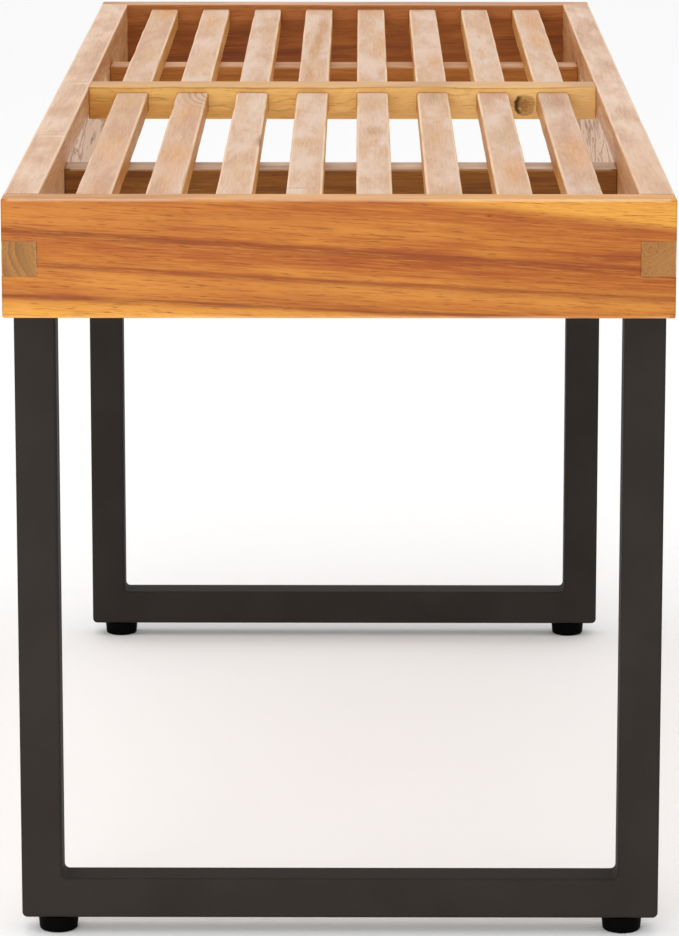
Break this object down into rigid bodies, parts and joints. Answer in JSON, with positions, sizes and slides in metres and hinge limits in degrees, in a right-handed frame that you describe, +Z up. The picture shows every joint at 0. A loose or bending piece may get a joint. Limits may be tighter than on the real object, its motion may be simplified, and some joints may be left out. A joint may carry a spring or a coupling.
{
  "type": "entryway bench",
  "caption": "Narrow wooden bench with a finger-jointed frame, lengthwise slats, a flush centre rail, two U-shaped square-tube steel legs and screw-in levelling feet.",
  "frame": {"origin": "on the floor under the middle of the bench", "axes": "+Z up, +Y along the length of the bench, +X to the right seen from the near end"},
  "size_m": [0.388, 1, 0.474],
  "materials": {
    "rail_wood": "oiled, satin",
    "side_wood": "oiled, satin",
    "centre_wood": "oiled, satin",
    "slat_wood": "oiled, satin",
    "support_wood": "oiled, matt",
    "black_steel": "fine satin powder coat",
    "zinc_steel": "zinc plated",
    "foot_plastic": "moulded, matt"
  },
  "bodies": {
    "bench": {"near_end_rail": "rail_wood", "far_end_rail": "rail_wood", "left_side_rail": "side_wood", "right_side_rail": "side_wood", "centre_rail": "centre_wood", "near_slat_support": "support_wood", "far_slat_support": "support_wood", "near_slat_1": "slat_wood", "near_slat_2": "slat_wood", "near_slat_3": "slat_wood", "near_slat_4": "slat_wood", "near_slat_5": "slat_wood", "near_slat_6": "slat_wood", "near_slat_7": "slat_wood", "near_slat_8": "slat_wood", "far_slat_1": "slat_wood", "far_slat_2": "slat_wood", "far_slat_3": "slat_wood", "far_slat_4": "slat_wood", "far_slat_5": "slat_wood", "far_slat_6": "slat_wood", "far_slat_7": "slat_wood", "far_slat_8": "slat_wood", "near_bottom_bar": "black_steel", "near_left_upright": "black_steel", "near_left_mounting_plate": "black_steel", "near_left_foot_insert": "zinc_steel", "near_left_plate_screw_1": "zinc_steel", "near_left_plate_screw_2": "zinc_steel", "near_right_upright": "black_steel", "near_right_mounting_plate": "black_steel", "near_right_foot_insert": "zinc_steel", "near_right_plate_screw_1": "zinc_steel", "near_right_plate_screw_2": "zinc_steel", "far_bottom_bar": "black_steel", "far_left_upright": "black_steel", "far_left_mounting_plate": "black_steel", "far_left_foot_insert": "zinc_steel", "far_left_plate_screw_1": "zinc_steel", "far_left_plate_screw_2": "zinc_steel", "far_right_upright": "black_steel", "far_right_mounting_plate": "black_steel", "far_right_foot_insert": "zinc_steel", "far_right_plate_screw_1": "zinc_steel", "far_right_plate_screw_2": "zinc_steel"},
    "near_left_foot": {"near_left_foot_pad": "foot_plastic", "near_left_foot_stud": "zinc_steel"},
    "near_right_foot": {"near_right_foot_pad": "foot_plastic", "near_right_foot_stud": "zinc_steel"},
    "far_left_foot": {"far_left_foot_pad": "foot_plastic", "far_left_foot_stud": "zinc_steel"},
    "far_right_foot": {"far_right_foot_pad": "foot_plastic", "far_right_foot_stud": "zinc_steel"}
  },
  "joints": [
    {"name": "near_left_foot_travel", "type": "slide", "parent": "bench", "child": "near_left_foot", "axis": [0, 0, -1], "range_m": [0, 0.01]},
    {"name": "near_right_foot_travel", "type": "slide", "parent": "bench", "child": "near_right_foot", "axis": [0, 0, -1], "range_m": [0, 0.01]},
    {"name": "far_left_foot_travel", "type": "slide", "parent": "bench", "child": "far_left_foot", "axis": [0, 0, -1], "range_m": [0, 0.01]},
    {"name": "far_right_foot_travel", "type": "slide", "parent": "bench", "child": "far_right_foot", "axis": [0, 0, -1], "range_m": [0, 0.01]}
  ]
}
